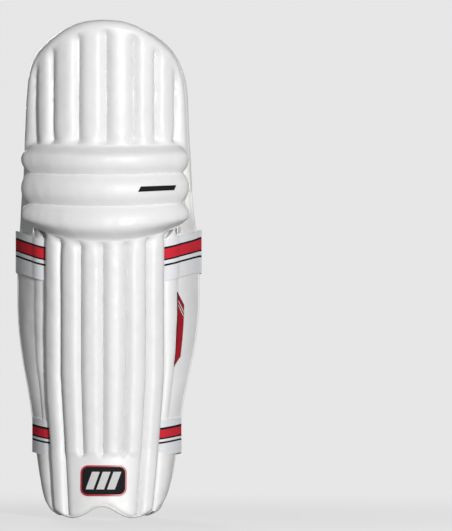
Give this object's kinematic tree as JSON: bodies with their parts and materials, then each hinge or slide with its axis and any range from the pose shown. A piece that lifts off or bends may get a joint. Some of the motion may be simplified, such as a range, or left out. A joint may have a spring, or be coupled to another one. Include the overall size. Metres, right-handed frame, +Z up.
{
  "type": "cricket leg pad",
  "caption": "Shin and knee guard for a batter: ribbed padded front, knee rolls, calf wings, padded edge roll, cushioned inside and two hook-and-loop calf straps.",
  "frame": {"origin": "foot end of the leg channel, on its middle line, level with the two lowest lobes of the instep: the leg that the pad is strapped to holds it up, because it can't stand alone", "axes": "+Z up the shin towards the knee and thigh; -Y is the ribbed front that meets the ball and +Y the leg side; +X is to the right of someone looking at the front"},
  "size_m": [0.2532, 0.143, 0.686],
  "materials": {
    "cover_leather": "white coated leathercloth, satin, fine pebble grain",
    "edge_roll_leather": "off-white soft leathercloth, satin",
    "filling_foam": "loose fibre and soft foam filling, matt",
    "cane": "split cane rods, bare",
    "backing_foam": "dense foam sheet, matt",
    "lining_cloth": "fine white brushed lining cloth",
    "cushion_cloth": "white quilted cushion cloth, matt",
    "cushion_red_cloth": "dark red woven cushion cloth with a black weave",
    "webbing": "woven tape, white with red and black stripes",
    "hook_loop": "hook and loop tape, matt",
    "ring_plastic": "white moulded loop",
    "printed_red": "printed red and black panel, satin",
    "badge": "moulded badge, dark field with a red border",
    "print_black": "raised black print, satin",
    "lining_print": "printed lining panel, red, black and white"
  },
  "bodies": {
    "shin": {"ankle_strap_side_web_left": "webbing", "ankle_strap_side_web_right": "webbing", "edge_roll_shin": "edge_roll_leather", "inner_cushion_centre": "cushion_red_cloth", "inner_cushion_left": "cushion_cloth", "inner_cushion_right": "cushion_cloth", "instep_badge": "badge", "instep_cover": "cover_leather", "instep_filling": "filling_foam", "knee_roll_lower_cover": "cover_leather", "knee_roll_lower_filling": "filling_foam", "knee_strap_side_web_left": "webbing", "knee_strap_side_web_right": "webbing", "shin_backing": "backing_foam", "shin_cane_rods": "cane", "shin_cover": "cover_leather", "shin_lining": "lining_cloth", "shin_rib_filling_1": "filling_foam", "shin_rib_filling_2": "filling_foam", "shin_rib_filling_3": "filling_foam", "shin_rib_filling_4": "filling_foam", "shin_rib_filling_5": "filling_foam", "shin_rib_filling_6": "filling_foam", "strap_loop_patches": "hook_loop", "wing_cover_left": "cover_leather", "wing_cover_right": "cover_leather", "wing_fillings": "filling_foam", "wing_label": "printed_red"},
    "knee_middle": {"knee_roll_middle_cover": "cover_leather", "knee_roll_middle_filling": "filling_foam", "knee_backing": "backing_foam", "knee_lining": "lining_cloth", "edge_roll_knee": "edge_roll_leather", "inner_cushions_knee": "cushion_cloth", "knee_roll_mark": "print_black"},
    "top_hat": {"top_hat_cover": "cover_leather", "top_hat_rib_filling_1": "filling_foam", "top_hat_rib_filling_2": "filling_foam", "top_hat_rib_filling_3": "filling_foam", "top_hat_rib_filling_4": "filling_foam", "top_hat_rib_filling_5": "filling_foam", "top_hat_rib_filling_6": "filling_foam", "top_hat_rib_filling_7": "filling_foam", "top_hat_rib_filling_8": "filling_foam", "top_hat_cane_rods": "cane", "top_hat_backing": "backing_foam", "top_hat_lining": "lining_cloth", "edge_roll_top_hat": "edge_roll_leather", "knee_roll_upper_cover": "cover_leather", "knee_roll_upper_filling": "filling_foam", "inner_cushions_top_hat": "cushion_cloth", "top_hat_print": "lining_print"},
    "knee_strap": {"knee_strap": "webbing"},
    "knee_strap_tab": {"knee_strap_tab": "webbing", "knee_strap_hook_patch": "hook_loop", "knee_strap_end_ring": "ring_plastic"},
    "ankle_strap": {"ankle_strap": "webbing"},
    "ankle_strap_tab": {"ankle_strap_tab": "webbing", "ankle_strap_hook_patch": "hook_loop", "ankle_strap_end_ring": "ring_plastic"}
  },
  "joints": [
    {"name": "knee_lower_fold", "type": "hinge", "parent": "shin", "child": "knee_middle", "pos_m": [0, -0.04, 0.43], "axis": [-1, 0, 0], "range_deg": [0, 12]},
    {"name": "knee_upper_fold", "type": "hinge", "parent": "knee_middle", "child": "top_hat", "pos_m": [0, -0.04, 0.4734], "axis": [-1, 0, 0], "range_deg": [0, 12]},
    {"name": "knee_strap_swing", "type": "hinge", "parent": "shin", "child": "knee_strap", "pos_m": [0.112, 0.04115, 0.3493], "axis": [0, 0, -1], "range_deg": [0, 120]},
    {"name": "knee_strap_tab_peel", "type": "hinge", "parent": "knee_strap", "child": "knee_strap_tab", "pos_m": [-0.062, 0.04545, 0.3493], "axis": [0, 0, -1], "range_deg": [0, 90]},
    {"name": "ankle_strap_swing", "type": "hinge", "parent": "shin", "child": "ankle_strap", "pos_m": [0.086, 0.00815, 0.11], "axis": [0, 0, -1], "range_deg": [0, 120]},
    {"name": "ankle_strap_tab_peel", "type": "hinge", "parent": "ankle_strap", "child": "ankle_strap_tab", "pos_m": [-0.044, 0.01245, 0.11], "axis": [0, 0, -1], "range_deg": [0, 90]}
  ],
  "couplings": [
    {"joint": "knee_upper_fold", "follows": "knee_lower_fold", "ratio": 1}
  ]
}
